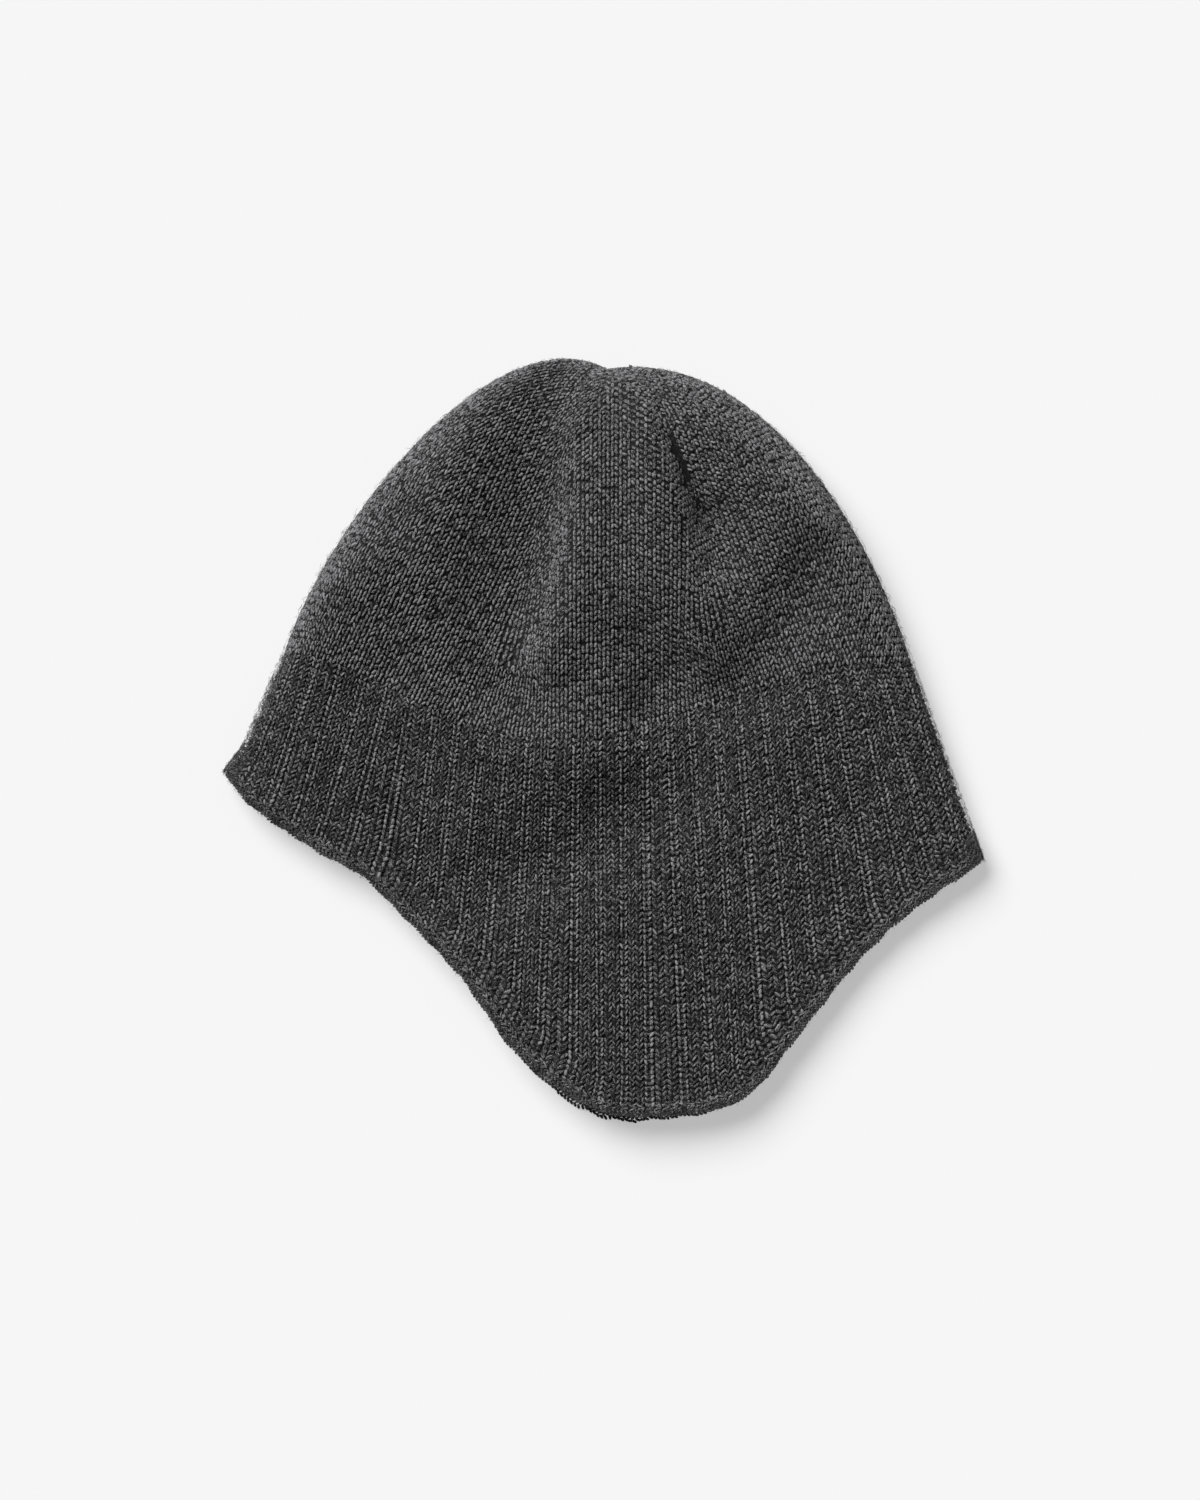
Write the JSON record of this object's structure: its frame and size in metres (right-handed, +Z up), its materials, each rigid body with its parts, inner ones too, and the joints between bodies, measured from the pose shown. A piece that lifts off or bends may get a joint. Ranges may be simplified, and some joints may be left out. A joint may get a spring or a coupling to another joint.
{
  "type": "knitted earflap hat",
  "caption": "Fine-knit wool hat with ribbed band and two long ear flaps, lying flat on its side.",
  "frame": {"origin": "on the surface that the hat lies on, under the middle of its box", "axes": "+Y from the ear flaps to the top of the crown, +X from the face to the nape, +Z up off the surface"},
  "size_m": [0.249, 0.2518, 0.0292],
  "materials": {
    "plain_knit": "matte dark grey marl wool, stocking stitch",
    "rib_knit": "matte dark grey marl wool, wide rib",
    "hem_knit": "matte dark grey marl wool, ribbed hem with a cast-off chain"
  },
  "bodies": {
    "root": {"crown": "plain_knit", "band_and_ear_flaps": "rib_knit", "rib_hem": "hem_knit"}
  },
  "joints": []
}
